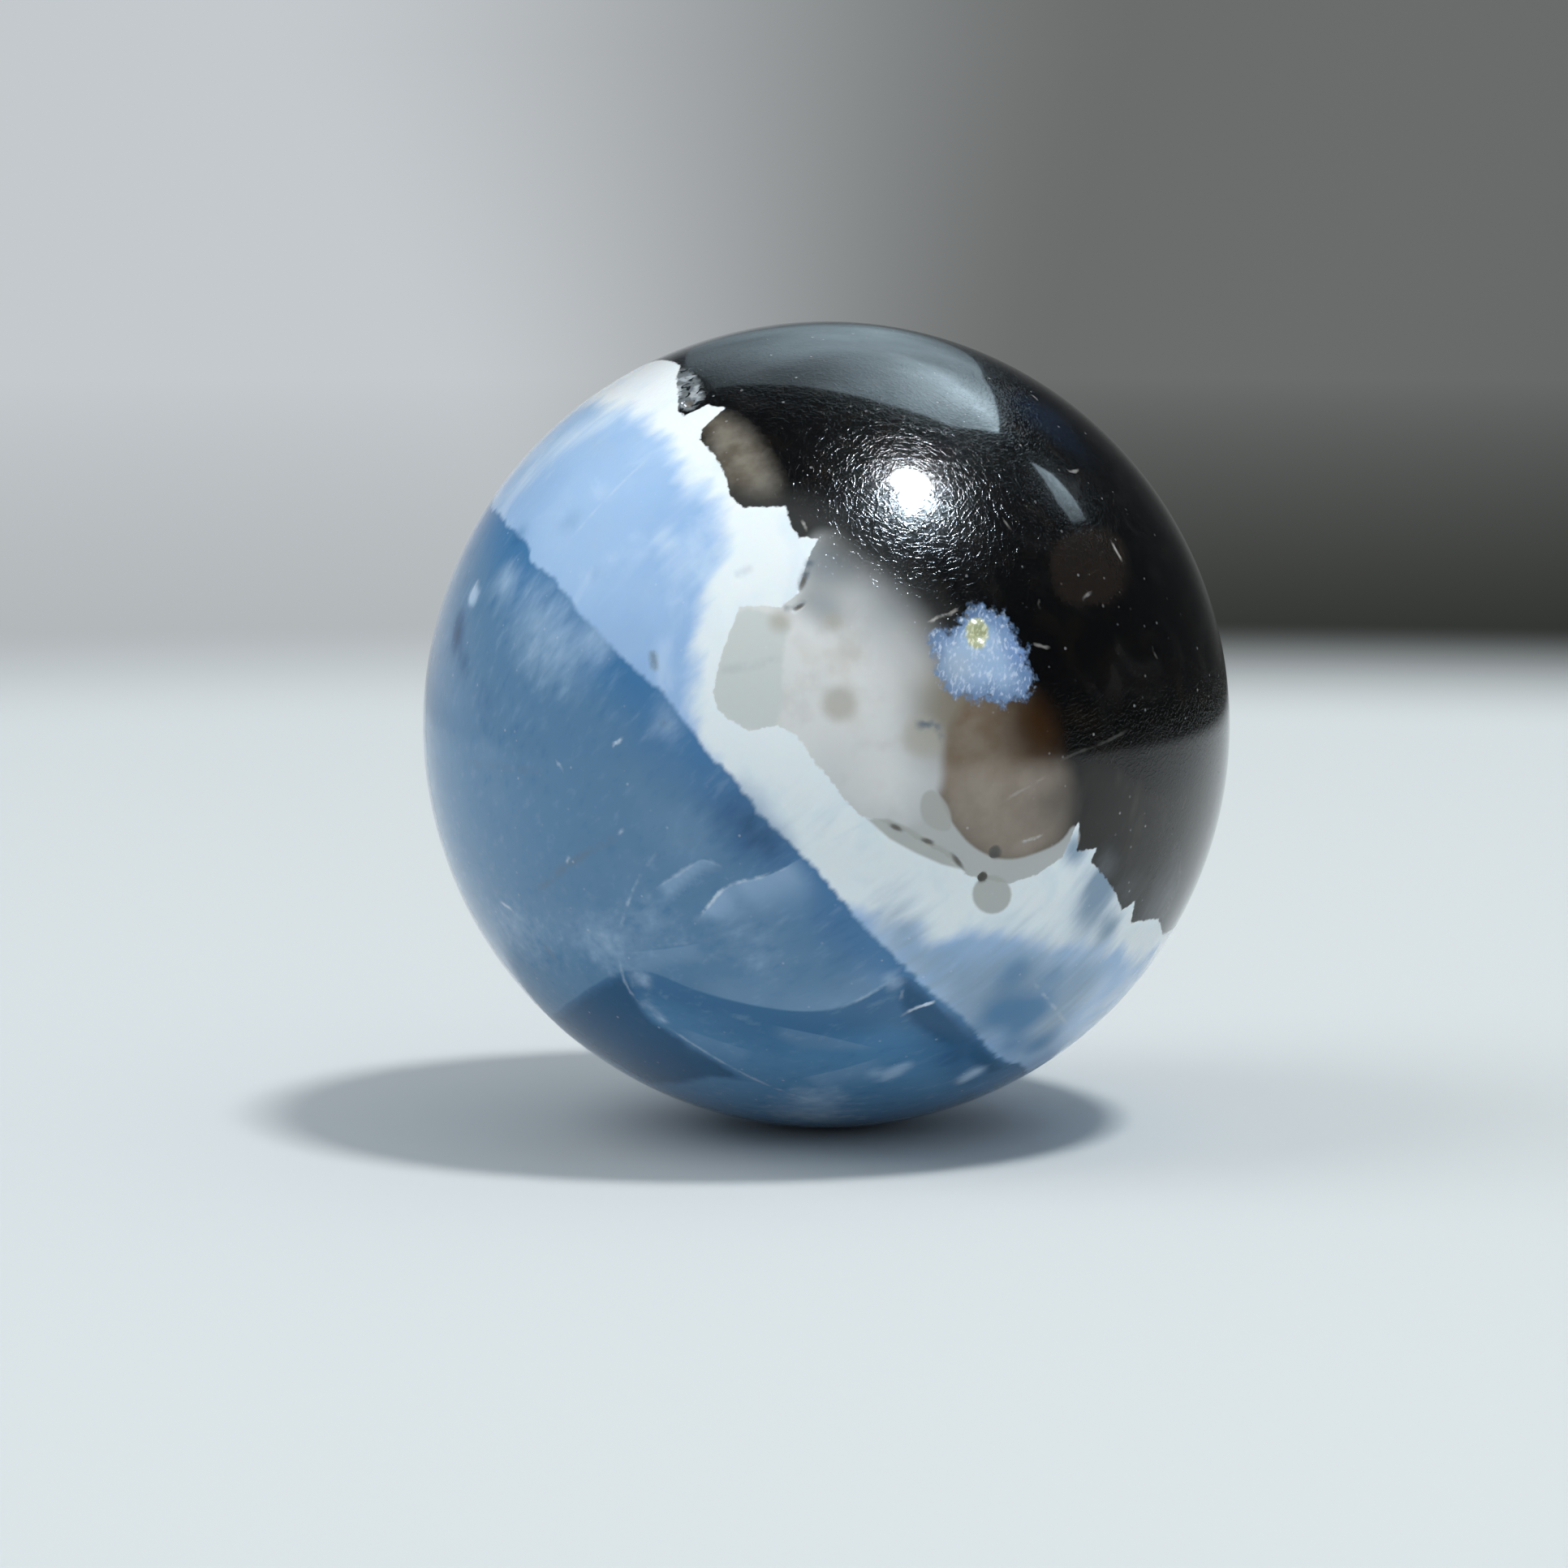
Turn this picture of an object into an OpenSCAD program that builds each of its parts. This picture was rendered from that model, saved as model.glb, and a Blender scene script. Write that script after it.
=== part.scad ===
// Opal sphere: a polished ball of layered opal and chalcedony.
// The polish has laid open a few small natural hollows: round pits, a crystal pocket and
// thin slits along the seam where the pale layer meets the dark one.
// The centre of the ball is the origin. The front faces -Y and +Z is up as the ball is shown.

/* [Ball] */
// Diameter of the ball
ball_d = 30; // [20:0.5:60]

/* [Round pits] */
// Mouth diameter of the open pits
pit_d = 0.55; // [0.3:0.05:1]
// Depth of the open pits
pit_depth = 0.22; // [0.1:0.02:0.4]
// Mouth diameter of the pinhole under the seam
pinhole_d = 0.4; // [0.2:0.05:0.8]

/* [Crystal pocket] */
// Mouth diameter of each of the pocket's two hollows
pocket_d = 0.8; // [0.4:0.05:1.4]
// Depth of the pocket
pocket_depth = 0.16; // [0.08:0.02:0.3]

/* [Seam slits] */
// Width of a slit at its mouth
slit_w = 0.24; // [0.16:0.02:0.4]
// Depth of a slit
slit_depth = 0.12; // [0.06:0.02:0.24]
// Length of the short slits
short_slit_l = 0.75; // [0.5:0.05:1.2]
// Length of the long slits
long_slit_l = 1.1; // [0.8:0.05:1.8]

/* [Surface chip] */
// Mouth diameter of the shallow chip beside the seam
chip_d = 0.7; // [0.4:0.05:1.2]
// Depth of the chip
chip_depth = 0.06; // [0.04:0.01:0.12]

/* [Hidden] */
$fn = 96;

ball_r = ball_d / 2;

// A place on the ball is its azimuth from the front towards the right, its elevation above the
// equator and, for a slit, its turn from level, all in degrees.
pit_places = [[-36, 55.5], [24, -12]];
pinhole_place = [22.5, -15.5];
pocket_places = [[21.5, 20.5], [22, 18]];
short_slit_places = [[9.5, -8, -25], [14, -10, -20], [-4, 22, 35]];
long_slit_places = [[18.5, -13, -50], [-3.5, 25.5, 70]];
chip_place = [-13, 26];

// Radius of the arc that spans a chord and dips below it by a given depth.
function arc_r(chord, depth) = (chord * chord / 4 + depth * depth) / (2 * depth);

// Puts a cutter on the ball's surface, with its own Z pointing out of the stone.
module on_ball(place) {
  turn = len(place) > 2 ? place[2] : 0;
  rotate([90 - place[1], 0, place[0]])
    translate([0, 0, ball_r])
      rotate([0, 0, turn])
        children();
}

// A dish with a round mouth.
module round_pit(d, depth) {
  r = arc_r(d, depth);
  translate([0, 0, r - depth])
    sphere(r = r);
}

// A boat-shaped groove that runs out to a point at both ends.
module slit(l) {
  rim_r = arc_r(slit_w, slit_depth);
  end_r = arc_r(l, slit_depth);
  ring_r = max(end_r - rim_r, rim_r + 0.01);
  translate([0, 0, ring_r + rim_r - slit_depth])
    rotate([90, 0, 0])
      rotate_extrude()
        translate([ring_r, 0])
          circle(r = rim_r);
}

// The whole ball, with its hollows cut into the polished surface.
module opal_sphere() {
  color("#7d9fbf")
    difference() {
      sphere(r = ball_r);
      for (place = pit_places)
        on_ball(place)
          round_pit(pit_d, pit_depth);
      on_ball(pinhole_place)
        round_pit(pinhole_d, pit_depth);
      for (place = pocket_places)
        on_ball(place)
          round_pit(pocket_d, pocket_depth);
      for (place = short_slit_places)
        on_ball(place)
          slit(short_slit_l);
      for (place = long_slit_places)
        on_ball(place)
          slit(long_slit_l);
      on_ball(chip_place)
        round_pit(chip_d, chip_depth);
    }
}

opal_sphere();
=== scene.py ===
# %% [markdown]
# Opal sphere: a lesson in painting stone.
# The real object is a polished ball cut from layered rough: blue common opal, a pale band, and
# dark chalcedony with milky windows in it. The shape is simple, so nearly all of the work is in
# the stone's pattern and in the polish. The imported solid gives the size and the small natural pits.

# %% Load the frame
import math

import bpy
import numpy as np
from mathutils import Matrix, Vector
from mathutils.bvhtree import BVHTree
from mathutils.kdtree import KDTree


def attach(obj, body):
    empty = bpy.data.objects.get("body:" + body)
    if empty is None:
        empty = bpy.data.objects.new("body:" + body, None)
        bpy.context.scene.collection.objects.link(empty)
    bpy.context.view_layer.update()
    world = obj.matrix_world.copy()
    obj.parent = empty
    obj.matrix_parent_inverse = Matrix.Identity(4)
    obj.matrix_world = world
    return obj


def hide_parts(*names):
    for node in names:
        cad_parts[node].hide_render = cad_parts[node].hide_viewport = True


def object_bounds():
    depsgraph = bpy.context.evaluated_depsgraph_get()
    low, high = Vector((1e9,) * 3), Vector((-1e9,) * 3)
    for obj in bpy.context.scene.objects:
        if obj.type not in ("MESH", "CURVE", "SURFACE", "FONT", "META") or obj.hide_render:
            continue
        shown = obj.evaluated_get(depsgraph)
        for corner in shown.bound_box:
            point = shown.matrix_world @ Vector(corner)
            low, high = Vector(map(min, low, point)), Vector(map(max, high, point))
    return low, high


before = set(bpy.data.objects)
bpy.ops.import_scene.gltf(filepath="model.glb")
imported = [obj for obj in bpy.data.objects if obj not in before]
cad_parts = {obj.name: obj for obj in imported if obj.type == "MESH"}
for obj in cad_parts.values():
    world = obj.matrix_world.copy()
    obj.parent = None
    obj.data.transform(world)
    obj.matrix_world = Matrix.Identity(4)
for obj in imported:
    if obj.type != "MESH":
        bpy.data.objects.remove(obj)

cad_low, cad_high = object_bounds()
scene = bpy.context.scene
scene.view_settings.view_transform = "Standard"
MM = 0.001
BALL_R = (cad_high.z - cad_low.z) / 2
R_MM = BALL_R / MM
print("ball radius, mm:", round(R_MM, 3))

# %% [markdown]
# The camera stands where the photograph was taken from: a quarter of a metre away and a little
# above the ball. The ball's outline in the picture, a circle of known centre and radius, fixes the
# lens. The camera is aimed a little past the ball, so the ball lands where the picture has it.

# %% Camera
PICTURE_SIDE_PX = 1932
BALL_CENTRE_PX = (1018, 893)
BALL_RADIUS_PX = 497
PX_PER_MM = BALL_RADIUS_PX / R_MM
CAMERA_DISTANCE = 240 * MM
SENSOR_WIDTH_MM = 36
CAMERA_ELEVATION = math.radians(6)

picture_half = PICTURE_SIDE_PX / 2
focal_px = BALL_RADIUS_PX / math.tan(math.asin(BALL_R / CAMERA_DISTANCE))
to_right = Vector((1, 0, 0))
to_top = Vector((0, math.sin(CAMERA_ELEVATION), math.cos(CAMERA_ELEVATION)))
to_camera = Vector((0, -math.cos(CAMERA_ELEVATION), math.sin(CAMERA_ELEVATION)))

camera_data = bpy.data.cameras.new("photo_camera")
camera_data.sensor_width = SENSOR_WIDTH_MM
camera_data.lens = SENSOR_WIDTH_MM * focal_px / PICTURE_SIDE_PX
camera_data.clip_start = 0.01
camera = bpy.data.objects.new("photo_camera", camera_data)
scene.collection.objects.link(camera)
scene.camera = camera
camera.location = to_camera * CAMERA_DISTANCE
aim = (
    to_right * ((picture_half - BALL_CENTRE_PX[0]) / focal_px)
    + to_top * ((BALL_CENTRE_PX[1] - picture_half) / focal_px)
    - to_camera
)
camera.rotation_mode = "QUATERNION"
camera.rotation_quaternion = aim.to_track_quat("-Z", "Y")
camera_turn = camera.rotation_quaternion.to_matrix()
print("lens, mm:", round(camera_data.lens, 1))

# %% [markdown]
# Colours are written as sRGB hex, the way a colour picker shows them. Shaders work in linear
# light, so one function turns the one into the other. A second one adds any node there is.

# %% Colour and node helpers
def srgb(hex_code):
    """Linear RGBA from an sRGB hex code."""
    parts = [int(hex_code[i:i + 2], 16) / 255 for i in (1, 3, 5)]
    linear = [c / 12.92 if c <= 0.04045 else ((c + 0.055) / 1.055) ** 2.4 for c in parts]
    return (*linear, 1.0)


def node(tree, kind, inputs=None, **settings):
    """Adds a node, sets its settings, and fills each input with a value, a hex colour or a link."""
    made = tree.nodes.new(kind)
    for name, value in settings.items():
        setattr(made, name, value)
    for socket, value in (inputs or {}).items():
        if isinstance(value, bpy.types.NodeSocket):
            tree.links.new(value, made.inputs[socket])
        else:
            made.inputs[socket].default_value = srgb(value) if isinstance(value, str) else value
    return made


# %% [markdown]
# Two helpers join the picture and the ball: one finds the place on the ball under a pixel, the
# other follows the mirror ray from there into the room. The first lays the pattern on the stone,
# the second says where a bright card has to stand to be mirrored at a pixel.

# %% From picture to ball
def unit(rows):
    return rows / np.linalg.norm(rows, axis=-1, keepdims=True)


def ball_points(pixels):
    """Directions from the ball's centre to the places under these pixels of the picture."""
    found = []
    for x, y in pixels:
        ray = camera_turn @ Vector(((x - picture_half) / focal_px, (picture_half - y) / focal_px, -1))
        ray.normalize()
        along = -ray.dot(camera.location)
        half_chord = BALL_R ** 2 - camera.location.length_squared + along ** 2
        found.append(camera.location + ray * (along - math.sqrt(max(0, half_chord))))
    return unit(np.array(found))


def mirrored_from(pixels, distance):
    """Places in the room, at a distance from the ball, that are mirrored at these pixels."""
    spots = []
    for row in ball_points(pixels):
        outward = Vector(row)
        spot = outward * BALL_R
        to_eye = (camera.location - spot).normalized()
        spots.append(spot + (outward * (2 * outward.dot(to_eye)) - to_eye) * distance)
    return spots


# %% [markdown]
# The stage is a pale table that ends a hand's breadth behind the ball, with a dim room behind it,
# lighter at the left. Both are one flat plane, because a wall would block the camera in the views
# from behind. The room's grey is shown to the camera and to the polish and gives no light.

# %% Table
TABLE_EDGE = (0.145, 0.215)
ROOM_DEPTH = (0.2, 0.55)
ROOM_SIDE = (-0.09, 0.05, 0.6)
ROOM_NEAR = ("#b2b7ba", "#333532", "#2a2c2a")
ROOM_FAR = ("#c4c9cd", "#6b6d6c", "#303232")

bpy.ops.object.select_all(action="DESELECT")
bpy.ops.mesh.primitive_plane_add(size=60, location=(0, 0, -BALL_R))
table = bpy.context.object
table.name = "table"

# Matte paper scatters all its light and has no gloss, so the eye gets a plain, quiet ground.
paper = bpy.data.materials.new("matte_table_paper")
paper.use_nodes = True
tree = paper.node_tree
matte = tree.nodes["Principled BSDF"]
matte.inputs["Base Color"].default_value = srgb("#c8cdcd")
matte.inputs["Roughness"].default_value = 0.9
matte.inputs["Specular IOR Level"].default_value = 0.0
place = node(tree, "ShaderNodeTexCoord").outputs["Object"]
reach = node(tree, "ShaderNodeVectorMath", {0: place}, operation="LENGTH").outputs["Value"]
across = node(tree, "ShaderNodeSeparateXYZ", {0: place}).outputs[0]
across = node(tree, "ShaderNodeMath", {0: across, 1: reach}, operation="DIVIDE").outputs[0]


def room_grey(tree, rightward, greys):
    """The room's grey from left to right, for a direction whose share to the right is given."""
    share = node(tree, "ShaderNodeMapRange", {0: rightward, 1: -1.0, 2: 1.0}).outputs[0]
    ramp = node(tree, "ShaderNodeValToRGB", {0: share})
    ramp.color_ramp.interpolation = "EASE"
    ramp.color_ramp.elements.new(0.5)
    for stop, side, grey in zip(ramp.color_ramp.elements, ROOM_SIDE, greys):
        stop.position = side / 2 + 0.5
        stop.color = srgb(grey)
    return ramp.outputs[0]


def seen_by_eye(tree):
    """1 for rays that come from the camera, straight or by way of the polish, and 0 for light."""
    ray = node(tree, "ShaderNodeLightPath")
    straight = {0: ray.outputs["Is Camera Ray"], 1: ray.outputs["Is Transmission Ray"]}
    either = node(tree, "ShaderNodeMath", straight, operation="MAXIMUM").outputs[0]
    any_way = {0: either, 1: ray.outputs["Is Glossy Ray"]}
    return node(tree, "ShaderNodeMath", any_way, operation="MAXIMUM").outputs[0]


near, far = room_grey(tree, across, ROOM_NEAR), room_grey(tree, across, ROOM_FAR)
depth = node(tree, "ShaderNodeMapRange", {0: reach, 1: ROOM_DEPTH[0], 2: ROOM_DEPTH[1]}).outputs[0]
room = node(tree, "ShaderNodeMix", {0: depth, 6: near, 7: far}, data_type="RGBA")
glow = node(tree, "ShaderNodeEmission", {"Color": room.outputs[2]})
edge = node(
    tree, "ShaderNodeMapRange",
    {0: reach, 1: TABLE_EDGE[0], 2: TABLE_EDGE[1], 4: seen_by_eye(tree)}, interpolation_type="SMOOTHSTEP",
)
surface = node(tree, "ShaderNodeMixShader", {0: edge.outputs[0], 1: matte.outputs[0], 2: glow.outputs[0]})
tree.links.new(surface.outputs[0], tree.nodes["Material Output"].inputs["Surface"])
table.data.materials.append(paper)
print("table at z, mm:", round(-R_MM, 2))

# %% [markdown]
# Light: a round key lamp high at the right models the ball, a wide fill lamp at the left softens
# its dark side, and the world lights the rest. A third lamp, as small as a spotlight, is seen only
# by the polish. It gives the highlight its glare, which the scratches spread into a halo. Polished
# dark stone mirrors the whole room, so the world that it mirrors is the dim room, darker overhead,
# and not the soft light that falls on the ball.

# %% Lamps and world
def soft_lamp(name, toward, distance, width, height, radiance):
    """An oval area lamp in a direction given as right, up and toward the camera, facing the ball."""
    data = bpy.data.lights.new(name, "AREA")
    data.shape = "ELLIPSE"
    data.size, data.size_y = width, height
    data.energy = radiance * math.pi * (math.pi * width * height / 4)
    made = bpy.data.objects.new(name, data)
    scene.collection.objects.link(made)
    direction = (to_right * toward[0] + to_top * toward[1] + to_camera * toward[2]).normalized()
    made.location = direction * distance
    made.rotation_mode = "QUATERNION"
    made.rotation_quaternion = (-direction).to_track_quat("-Z", "Y")
    return made


key = soft_lamp("key_lamp", (0.32, 0.92, 0.24), 0.8, 0.12, 0.12, 112)
fill = soft_lamp("fill_lamp", (-0.64, 0.68, 0.18), 0.9, 0.7, 0.7, 2.0)
fill.visible_glossy = False
glint = soft_lamp("glint_lamp", (0.335, 0.885, 0.335), 0.8, 0.05, 0.05, 2400)
glint.data.color = srgb("#d8edff")[:3]
glint.visible_diffuse = False

world = bpy.data.worlds.new("studio")
scene.world = world
world.use_nodes = True
tree = world.node_tree
tree.nodes.clear()
way = node(tree, "ShaderNodeSeparateXYZ", {0: node(tree, "ShaderNodeTexCoord").outputs["Generated"]})
high = node(tree, "ShaderNodeMapRange", {0: way.outputs[2], 1: 0.02, 2: 0.35}).outputs[0]
room = room_grey(tree, way.outputs[0], ROOM_FAR)
room = node(tree, "ShaderNodeMix", {0: high, 6: room, 7: "#2e3236"}, data_type="RGBA").outputs[2]
light = node(tree, "ShaderNodeMix", {0: seen_by_eye(tree), 6: "#b6bdc4", 7: room}, data_type="RGBA")
sky = node(tree, "ShaderNodeBackground", {"Color": light.outputs[2]})
node(tree, "ShaderNodeOutputWorld", {"Surface": sky.outputs[0]})
print("lamps, W:", [round(lamp.data.energy, 1) for lamp in (key, fill, glint)])

# %% [markdown]
# Bright shapes in a polish are pictures of bright things in the room. The grey crescent along the
# top rim is a wide pale screen behind the ball, the thin line in it is a brighter slat, and the
# small crescent beside it is a slimmer screen. Each is a card whose corners are found by the mirror
# rays, with an uneven, cloudy glow. The camera never sees the card itself.

# %% Bright cards
TOP_SCREEN = [
    (1231, 534, 7.0), (1228, 502, 3.4), (1212, 466, 1.3), (1192, 436, 0.3), (1150, 417, 0.2),
    (1080, 402, 0.28), (1018, 399, 0.22), (950, 404, 0.2), (895, 415, 0.2), (850, 431, 0.35),
    (845, 455, 0.4), (880, 478, 0.6), (950, 474, 1.0), (1035, 484, 1.9), (1098, 500, 3.0), (1172, 526, 5.5),
]
LINE_SCREEN = [
    (950, 437, 1.6), (1035, 440, 2.4), (1078, 447, 4.2), (1130, 469, 4.8), (1126, 478, 4.8),
    (1072, 457, 4.2), (1035, 449, 2.4), (950, 446, 1.6),
]
SLIM_SCREEN = [
    (1270, 569, 7.0), (1296, 584, 7.0), (1320, 610, 5.0), (1338, 640, 2.6), (1322, 645, 2.0),
    (1302, 618, 3.5),
]
SCREEN_DISTANCE = 0.5
SLAT_DISTANCE = 0.49
GLOW_CLOUDS_PER_M = 9.0


def card(name, corners, distance):
    """A glowing card that is mirrored inside these pixels, with a strength at each of them."""
    bpy.ops.object.select_all(action="DESELECT")
    bpy.ops.mesh.primitive_circle_add(vertices=len(corners), fill_type="TRIFAN")
    made = bpy.context.object
    made.name = name
    spots = mirrored_from([(x, y) for x, y, _ in corners], distance)
    powers = [power for _, _, power in corners]
    rim = [point for point in made.data.vertices if point.co.length > 0.5]
    middle = [point for point in made.data.vertices if point.co.length <= 0.5][0]
    middle.co = sum(spots, Vector()).normalized() * distance
    strength = made.data.attributes.new("strength", "FLOAT", "POINT")
    strength.data[middle.index].value = sum(powers) / len(powers)
    for point, spot, power in zip(rim, spots, powers):
        point.co = spot
        strength.data[point.index].value = power
    made.visible_camera = False
    made.visible_diffuse = False
    made.visible_shadow = False
    glowing = bpy.data.materials.new(name + "_glow")
    glowing.use_nodes = True
    tree = glowing.node_tree
    tree.nodes.clear()
    power = node(tree, "ShaderNodeAttribute", attribute_name="strength").outputs["Fac"]
    place = node(tree, "ShaderNodeTexCoord").outputs["Object"]
    clouds = {"Vector": place, "Scale": GLOW_CLOUDS_PER_M, "Detail": 3.0}
    cloudy = node(tree, "ShaderNodeTexNoise", clouds).outputs["Fac"]
    cloudy = node(tree, "ShaderNodeMapRange", {0: cloudy, 1: 0.3, 2: 0.7, 3: 0.65, 4: 1.45}).outputs[0]
    power = node(tree, "ShaderNodeMath", {0: power, 1: cloudy}, operation="MULTIPLY").outputs[0]
    shine = node(tree, "ShaderNodeEmission", {"Color": "#cfe8f5", "Strength": power})
    node(tree, "ShaderNodeOutputMaterial", {"Surface": shine.outputs[0]})
    made.data.materials.append(glowing)
    return made


cards = [
    card("top_screen", TOP_SCREEN, SCREEN_DISTANCE), card("line_screen", LINE_SCREEN, SLAT_DISTANCE),
    card("slim_screen", SLIM_SCREEN, SCREEN_DISTANCE),
]
print("cards:", [made.name for made in cards])

# %% [markdown]
# The three layers of the rough lie across the ball like slices of a cake, seen edge-on: blue opal
# at the lower left, the pale band with its milk-white side, dark chalcedony at the upper right.
# Their front edges are read from the photograph. Round the back each edge follows its slice, with
# a gentle wave in the soft opal and with crystal teeth where the pale band grew into the dark.

# %% Layer edges
LAYER_UP = unit(0.745 * np.array(to_right) + 0.667 * np.array(to_top))
BLUE_EDGE_PX = [
    (614, 628), (630, 652), (651, 667), (656, 696), (679, 707), (694, 726), (715, 755), (737, 780),
    (766, 808), (792, 834), (812, 848), (845, 887), (871, 927), (905, 960), (951, 1020), (991, 1053),
    (1031, 1100), (1064, 1139), (1117, 1192), (1166, 1237), (1193, 1258), (1217, 1290), (1238, 1308),
]
WHITE_EDGE_PX = [
    (712, 505), (750, 514), (788, 528), (798, 552), (815, 574), (834, 588), (846, 606), (866, 622),
    (880, 642), (884, 664), (880, 686), (870, 704), (864, 724), (857, 746), (851, 770), (847, 800),
    (841, 830), (838, 868), (846, 900), (854, 930), (868, 958), (918, 1032), (974, 1084), (1018, 1120),
    (1066, 1140), (1116, 1156), (1157, 1167), (1187, 1154), (1224, 1162), (1268, 1172), (1305, 1174),
    (1337, 1168), (1365, 1184), (1393, 1196),
]
DARK_EDGE_PX = [
    (800, 447), (838, 451), (833, 466), (835, 506), (843, 513), (872, 499), (893, 503), (865, 529),
    (862, 542), (878, 559), (891, 579), (900, 612), (915, 625), (935, 625), (969, 624), (973, 645),
    (984, 662), (1008, 664), (998, 682), (988, 712), (983, 732), (961, 748), (935, 746), (911, 748),
    (898, 781), (885, 821), (878, 854), (885, 875), (898, 887), (924, 901), (958, 894), (980, 905),
    (1004, 940), (1040, 985), (1062, 1006), (1092, 1015), (1116, 1026), (1140, 1040), (1168, 1056),
    (1190, 1078), (1212, 1084), (1242, 1089), (1275, 1079), (1309, 1056), (1325, 1019), (1329, 1014),
    (1327, 1049), (1351, 1045), (1344, 1062), (1375, 1102), (1382, 1122), (1398, 1110), (1393, 1137),
    (1426, 1132), (1432, 1152), (1446, 1144),
]


def round_the_back(front, teeth_mm, wave_mm, count):
    """Closes a front edge round the back of the ball, along its layer, in uneven steps of bearing."""
    east = unit(np.cross(LAYER_UP, (0.0, 1.0, 0.0)))
    north = np.cross(LAYER_UP, east)
    bearing = np.arctan2(front @ north, front @ east)
    height = np.arcsin(front @ LAYER_UP)
    start, end = bearing[-1], bearing[0]
    turn = (end - start) % (2 * math.pi)
    if np.any(((bearing[1:-1] - start) % (2 * math.pi)) < turn * 0.5):
        turn -= 2 * math.pi
    chance = np.random.default_rng(len(front))
    steps = np.cumsum(chance.uniform(0.4, 1.6, count))
    rows = []
    for i, share in enumerate(steps[:-1] / steps[-1]):
        angle = start + turn * share
        level = height[-1] * (1 - share) + height[0] * share
        cluster = min(1.4, max(0.0, math.sin(share * 31.0) + math.sin(share * 13.0 + 2.0)) ** 2)
        ragged = 0.25 * chance.uniform(-1, 1)
        spike = cluster * chance.uniform(0.1, 0.6) * (1 if i % 2 else -0.15)
        tooth = teeth_mm * (ragged + spike)
        wave = wave_mm * (math.sin(share * 9.4) * 0.6 + math.sin(share * 22.0 + 1.3) * 0.4)
        level += (tooth + wave) / R_MM
        heading = math.cos(angle) * east + math.sin(angle) * north
        rows.append(math.cos(level) * heading + math.sin(level) * LAYER_UP)
    return np.concatenate([front, np.array(rows)])


blue_ring = round_the_back(ball_points(BLUE_EDGE_PX), 0.0, 0.8, 60)
white_ring = round_the_back(ball_points(WHITE_EDGE_PX), 0.6, 1.0, 60)
dark_ring = round_the_back(ball_points(DARK_EDGE_PX), 1.2, 1.2, 90)
print("points round the layers:", len(blue_ring), len(white_ring), len(dark_ring))

# %% [markdown]
# Inside the dark layer sit rounded cells of clear to milky chalcedony: a pale window, a beige cell
# at its left, brown cells at its right, a grey seam and smoky stone below. Some edges are crisp and
# some melt away into the black, so the window has a second outline for its fading side.

# %% Cells in the dark layer
WINDOW_PX = [
    (860, 735), (960, 740), (985, 700), (1000, 655), (1031, 650), (1100, 664), (1170, 714), (1212, 770),
    (1206, 830), (1188, 872), (1166, 902), (1161, 930), (1162, 968), (1148, 988), (1134, 1012),
    (1100, 1034), (1050, 1034), (980, 960), (950, 930), (880, 920), (850, 860),
]
WINDOW_SOFT_PX = [
    (830, 640), (1000, 650), (1030, 688), (1076, 720), (1120, 760), (1150, 806), (1176, 850),
    (1182, 890), (1180, 930), (1180, 980), (1160, 1060), (1040, 1060), (830, 960), (800, 760),
]
LEFT_CELL_PX = [
    (911, 748), (898, 781), (885, 821), (878, 854), (885, 875), (898, 887), (924, 901), (958, 896),
    (965, 861), (964, 814), (968, 784), (978, 768), (944, 754),
]
SEAM_PX = [
    (1072, 1014), (1096, 1000), (1120, 976), (1150, 964), (1160, 985), (1168, 1005), (1180, 1022),
    (1196, 1041), (1222, 1056), (1249, 1059), (1282, 1049), (1309, 1036), (1323, 1012), (1334, 1030),
    (1316, 1066), (1275, 1096), (1230, 1102), (1180, 1092), (1140, 1060), (1100, 1040),
]
BROWN_HIGH_PX = [
    (1130, 930), (1132, 860), (1150, 820), (1190, 845), (1230, 850), (1280, 856), (1302, 895), (1304, 930),
    (1312, 960), (1312, 1010), (1292, 1050), (1240, 1065), (1180, 1040), (1150, 980),
]
BROWN_LOW_PX = [
    (1165, 945), (1163, 965), (1168, 993), (1180, 1022), (1196, 1041), (1222, 1056), (1249, 1059),
    (1282, 1049), (1305, 1036), (1315, 1012), (1318, 975), (1308, 945), (1290, 950), (1240, 948),
]
GREEN_CELL_PX = [
    (1134, 978), (1150, 970), (1165, 985), (1174, 1005), (1172, 1027), (1146, 1022), (1132, 1005),
]
SEAM_LENS_PX = [
    (1066, 1008), (1095, 1008), (1120, 1019), (1144, 1033), (1172, 1049), (1193, 1074), (1160, 1066),
    (1128, 1052), (1095, 1034),
]
LOW_BUBBLE_PX = (1222, 1102, 25)
# The dimples are darker discs of painted shade, for the shade in rounded bubbles of the milky stone. The half
# disc is a brownish spot of the stone itself.
HALF_DISC_PX = (961, 766, 15)
SHADED_DIMPLES_PX = [(1034, 867, 24), (1026, 765, 13), (1137, 908, 27)]
FLOWER_PX = [
    (1143, 778), (1158, 772), (1168, 777), (1184, 760), (1196, 744), (1210, 742), (1218, 752), (1236, 754),
    (1250, 772), (1256, 790), (1268, 800), (1264, 814), (1276, 836), (1272, 850), (1264, 866), (1250, 864),
    (1240, 872), (1218, 864), (1204, 870), (1188, 860), (1171, 862), (1160, 842), (1148, 829), (1150, 806),
    (1142, 796),
]
GREY_POCKET_PX = [(820, 463), (845, 450), (864, 468), (874, 492), (848, 510), (830, 502), (818, 480)]
CRYSTAL_PX = [(1190, 770), (1198, 760), (1212, 762), (1220, 778), (1214, 798), (1200, 802), (1190, 790)]
print("window outline:", len(WINDOW_PX), "points")

# %% [markdown]
# An outline read from a picture is a chain of straight bits. Cutting its corners a few times over
# turns it into a smooth curve, which is less work than placing many points. The flower-like patch
# and the dark layer's toothed edge have real corners, so those outlines are left as they are.

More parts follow.
